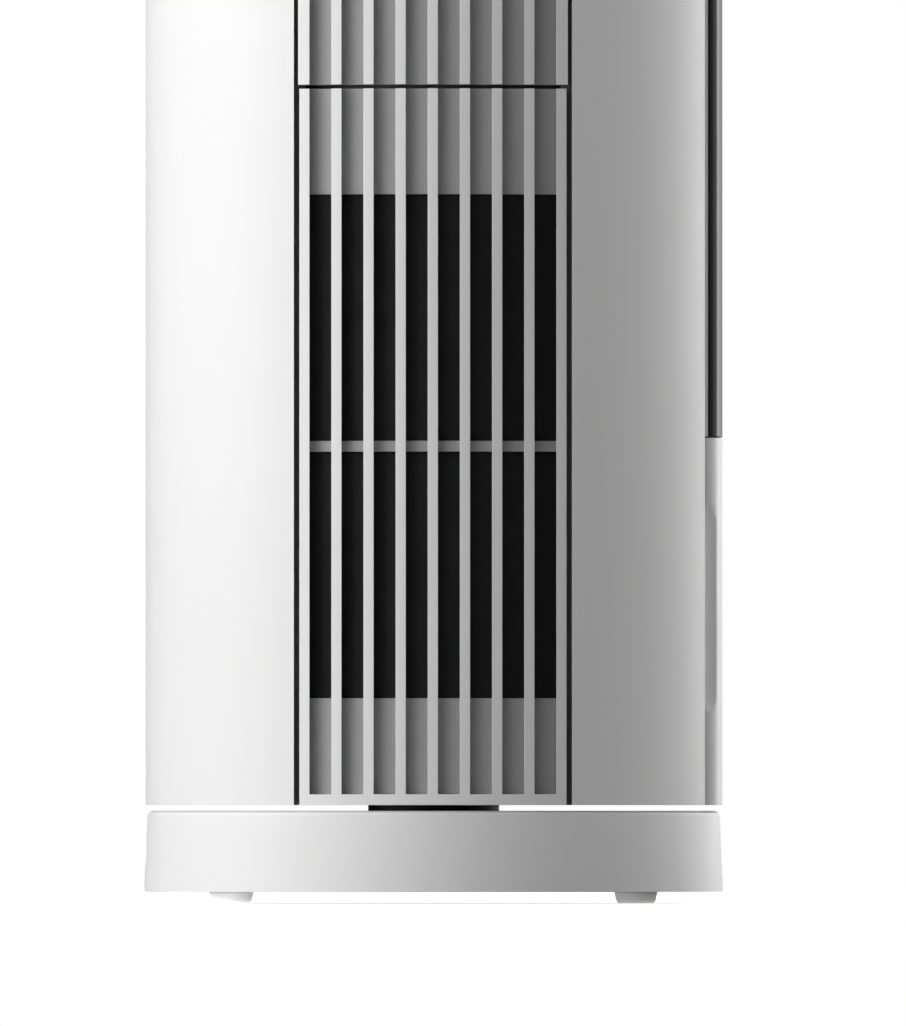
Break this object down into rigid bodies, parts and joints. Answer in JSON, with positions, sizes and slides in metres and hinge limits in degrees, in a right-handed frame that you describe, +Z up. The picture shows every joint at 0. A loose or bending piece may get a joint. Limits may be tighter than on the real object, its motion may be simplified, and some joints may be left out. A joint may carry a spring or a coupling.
{
  "type": "portable air conditioner",
  "caption": "Slim round tower cooler on a swivelling base, with slotted filter covers, a pull-out water tank, a black front outlet and louvers.",
  "frame": {"origin": "centre of the round base on the floor, under the swivel axis", "axes": "+Z up along the swivel axis, the black front with the air outlet faces -Y, +X to the front's right-hand viewer side"},
  "size_m": [0.2212, 0.2212, 0.69],
  "materials": {
    "shell_white": "satin",
    "dark_plastic": "satin",
    "grey_plastic": "satin",
    "fascia_black": "gloss",
    "foot_rubber": "matte",
    "screw_steel": "satin",
    "ballast_steel": "matte",
    "bearing_plastic": "satin",
    "motor_steel": "satin",
    "lead_rubber": "matte",
    "trim_metal": "satin",
    "display_glass": "gloss",
    "pad_paper": "matte",
    "hose_clear": "gloss",
    "circuit_board": "satin",
    "fan_plastic": "satin",
    "filter_black": "matte",
    "tank_clear": "gloss",
    "float_red": "satin",
    "button_dark": "satin"
  },
  "bodies": {
    "base": {"base_shell": "shell_white", "base_plate": "grey_plastic", "rubber_feet": "foot_rubber", "base_screws": "screw_steel", "ballast_plates": "ballast_steel", "swivel_bush": "bearing_plastic", "swing_motor": "motor_steel", "power_inlet": "dark_plastic", "supply_lead": "lead_rubber"},
    "tower": {"neck_column": "dark_plastic", "swing_gear": "bearing_plastic", "tower_floor": "shell_white", "tower_screws": "screw_steel", "rear_shell": "shell_white", "rear_shell_upper": "shell_white", "front_shell": "shell_white", "upper_grille_left": "shell_white", "upper_grille_right": "shell_white", "front_frame": "shell_white", "front_panel": "fascia_black", "trim_strips": "trim_metal", "outlet_grille": "dark_plastic", "display_module": "display_glass", "tank_cradle": "grey_plastic", "drip_tray": "grey_plastic", "cooling_pads": "pad_paper", "water_troughs": "grey_plastic", "pump_body": "dark_plastic", "pump_hose": "hose_clear", "rear_bulkhead": "grey_plastic", "power_board": "circuit_board", "wiring_harness": "lead_rubber", "fan_casing": "grey_plastic", "motor_bracket": "grey_plastic", "fan_motor": "motor_steel", "outlet_duct": "dark_plastic", "louver_motor": "motor_steel", "handle_pocket": "shell_white", "top_cover": "shell_white", "control_panel": "fascia_black", "control_board": "circuit_board"},
    "swing_pinion": {"swing_pinion": "bearing_plastic"},
    "fan": {"fan_shaft": "screw_steel", "impeller": "fan_plastic"},
    "pump_rotor": {"pump_rotor": "bearing_plastic"},
    "louver_left": {"louver_left": "dark_plastic"},
    "louver_middle": {"louver_middle": "dark_plastic"},
    "louver_right": {"louver_right": "dark_plastic"},
    "louver_link": {"louver_link": "grey_plastic"},
    "left_cover": {"filter_cover_left": "shell_white", "filter_left": "filter_black"},
    "right_cover": {"filter_cover_right": "shell_white", "filter_right": "filter_black"},
    "tank": {"water_tank": "tank_clear", "tank_front": "shell_white", "tank_lid": "shell_white"},
    "level_float": {"level_float": "float_red"},
    "button_power": {"button_power": "button_dark"},
    "button_speed": {"button_speed": "button_dark"},
    "button_swing": {"button_swing": "button_dark"}
  },
  "joints": [
    {"name": "tower_swing", "type": "hinge", "parent": "base", "child": "tower", "pos_m": [0, 0, 0.03], "axis": [0, 0, 1], "range_deg": [-35, 35]},
    {"name": "pinion_spin", "type": "hinge", "parent": "base", "child": "swing_pinion", "pos_m": [0, -0.045, 0.0135], "axis": [0, 0, 1], "range_deg": [-130, 130]},
    {"name": "fan_spin", "type": "hinge", "parent": "tower", "child": "fan", "pos_m": [0, 0, 0.33], "axis": [0, 0, 1], "continuous": true},
    {"name": "pump_spin", "type": "hinge", "parent": "tower", "child": "pump_rotor", "pos_m": [0, 0.024, 0.066], "axis": [0, 0, 1], "continuous": true},
    {"name": "louver_middle_swing", "type": "hinge", "parent": "tower", "child": "louver_middle", "pos_m": [0, -0.091, 0.5], "axis": [0, 0, 1], "range_deg": [-30, 30]},
    {"name": "louver_left_swing", "type": "hinge", "parent": "tower", "child": "louver_left", "pos_m": [-0.017, -0.091, 0.5], "axis": [0, 0, 1], "range_deg": [-31, 31]},
    {"name": "louver_right_swing", "type": "hinge", "parent": "tower", "child": "louver_right", "pos_m": [0.017, -0.091, 0.5], "axis": [0, 0, 1], "range_deg": [-31, 31]},
    {"name": "louver_link_slide", "type": "slide", "parent": "tower", "child": "louver_link", "axis": [1, 0, 0], "range_m": [-0.0047, 0.0047]},
    {"name": "left_cover_pull", "type": "slide", "parent": "tower", "child": "left_cover", "axis": [-1, 0, 0], "range_m": [0, 0.06]},
    {"name": "right_cover_pull", "type": "slide", "parent": "tower", "child": "right_cover", "axis": [1, 0, 0], "range_m": [0, 0.06]},
    {"name": "tank_slide", "type": "slide", "parent": "tower", "child": "tank", "axis": [0, -1, 0], "range_m": [0, 0.12]},
    {"name": "float_rise", "type": "slide", "parent": "tank", "child": "level_float", "axis": [0, 0, 1], "range_m": [0, 0.09]},
    {"name": "button_speed_press", "type": "slide", "parent": "tower", "child": "button_speed", "axis": [0, 0, -1], "range_m": [0, 0.001], "stiffness_N_per_m": 500, "springref_m": -0.001},
    {"name": "button_power_press", "type": "slide", "parent": "tower", "child": "button_power", "axis": [0, 0, -1], "range_m": [0, 0.001], "stiffness_N_per_m": 500, "springref_m": -0.001},
    {"name": "button_swing_press", "type": "slide", "parent": "tower", "child": "button_swing", "axis": [0, 0, -1], "range_m": [0, 0.001], "stiffness_N_per_m": 500, "springref_m": -0.001}
  ],
  "couplings": [
    {"joint": "pinion_spin", "follows": "tower_swing", "ratio": -3.5},
    {"joint": "louver_left_swing", "follows": "louver_middle_swing", "ratio": 1},
    {"joint": "louver_right_swing", "follows": "louver_middle_swing", "ratio": 1},
    {"joint": "louver_link_slide", "follows": "louver_middle_swing", "m_per_rad": -0.0085944}
  ]
}
